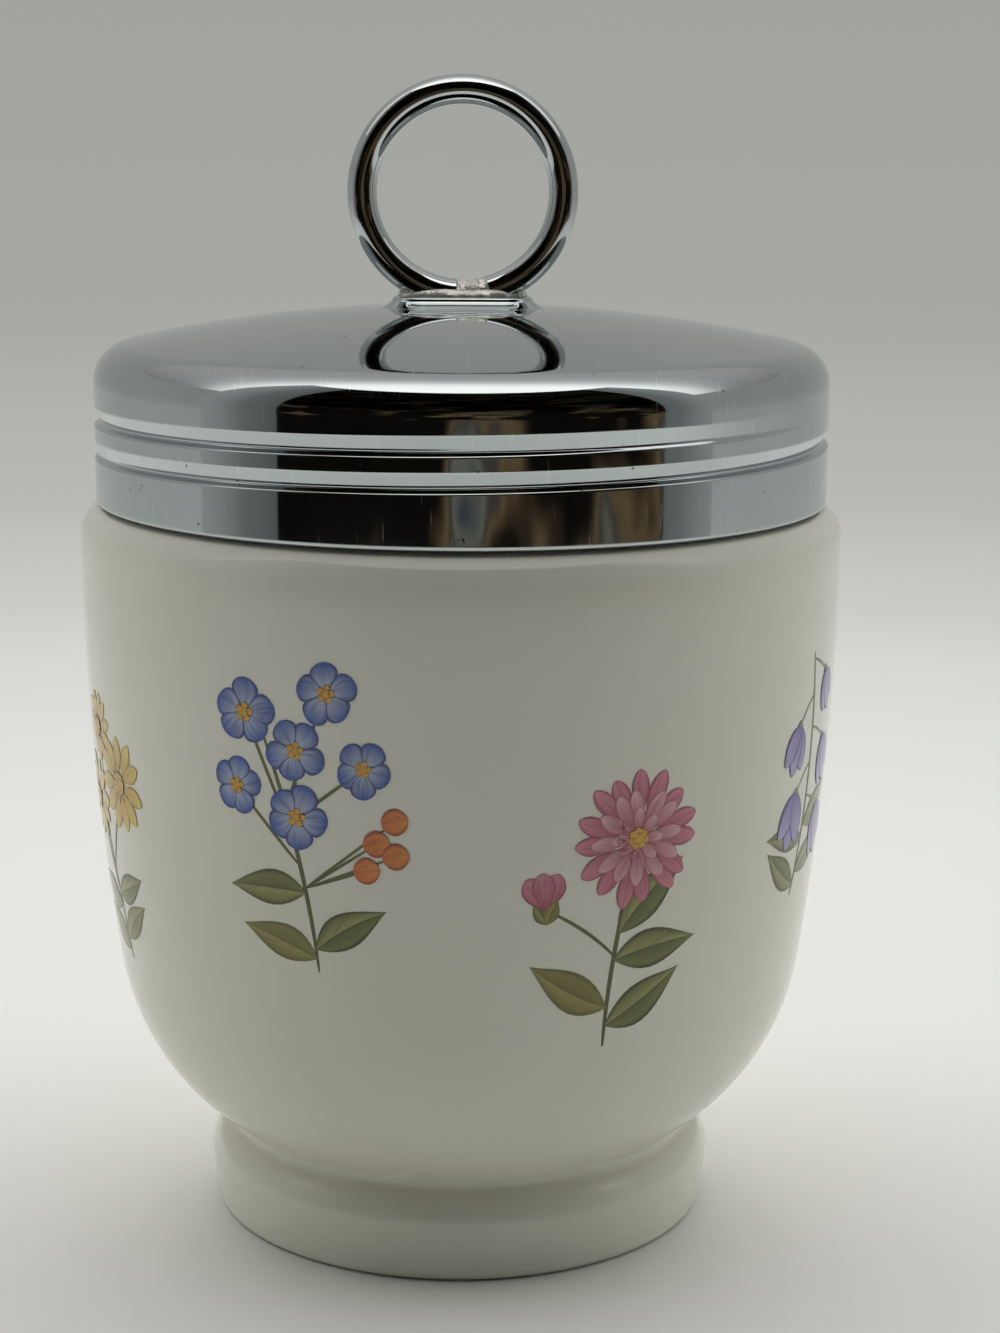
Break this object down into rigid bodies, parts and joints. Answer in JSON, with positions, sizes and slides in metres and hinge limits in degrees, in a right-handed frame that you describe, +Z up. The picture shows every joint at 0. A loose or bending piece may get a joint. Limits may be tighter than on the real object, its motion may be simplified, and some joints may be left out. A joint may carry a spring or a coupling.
{
  "type": "porcelain egg coddler",
  "caption": "Footed porcelain cup with a domed metal screw lid and a finger ring, for coddling eggs in simmering water.",
  "frame": {"origin": "centre of the foot's flat face, on the table, at the foot of the cup's axis", "axes": "+Z up along the cup's axis, +X to the right as pictured, -Y towards the viewer; the finger ring stands in the XZ plane"},
  "size_m": [0.0678, 0.0678, 0.1024],
  "materials": {
    "porcelain": "clear gloss glaze over warm white porcelain, with painted sprigs",
    "lid_plate": "bright plate with fine scratches from use",
    "lip_plate": "bright plate, curled edge",
    "ring_plate": "bright plate, worn smooth",
    "braze": "rough, dull brazing metal"
  },
  "bodies": {
    "cup": {"cup": "porcelain"},
    "lip": {"lid_lip": "lip_plate"},
    "lid": {"lid_cap": "lid_plate", "finger_ring": "ring_plate", "ring_braze": "braze"}
  },
  "joints": [
    {"name": "lid_rise", "type": "slide", "parent": "cup", "child": "lip", "axis": [0, 0, 1], "range_m": [0, 0.0145]},
    {"name": "lid_turn", "type": "hinge", "parent": "lip", "child": "lid", "pos_m": [0, 0, 0.0657], "axis": [0, 0, 1], "range_deg": [0, 1800]}
  ],
  "couplings": [
    {"joint": "lid_rise", "follows": "lid_turn", "m_per_rad": 0.00046155}
  ]
}
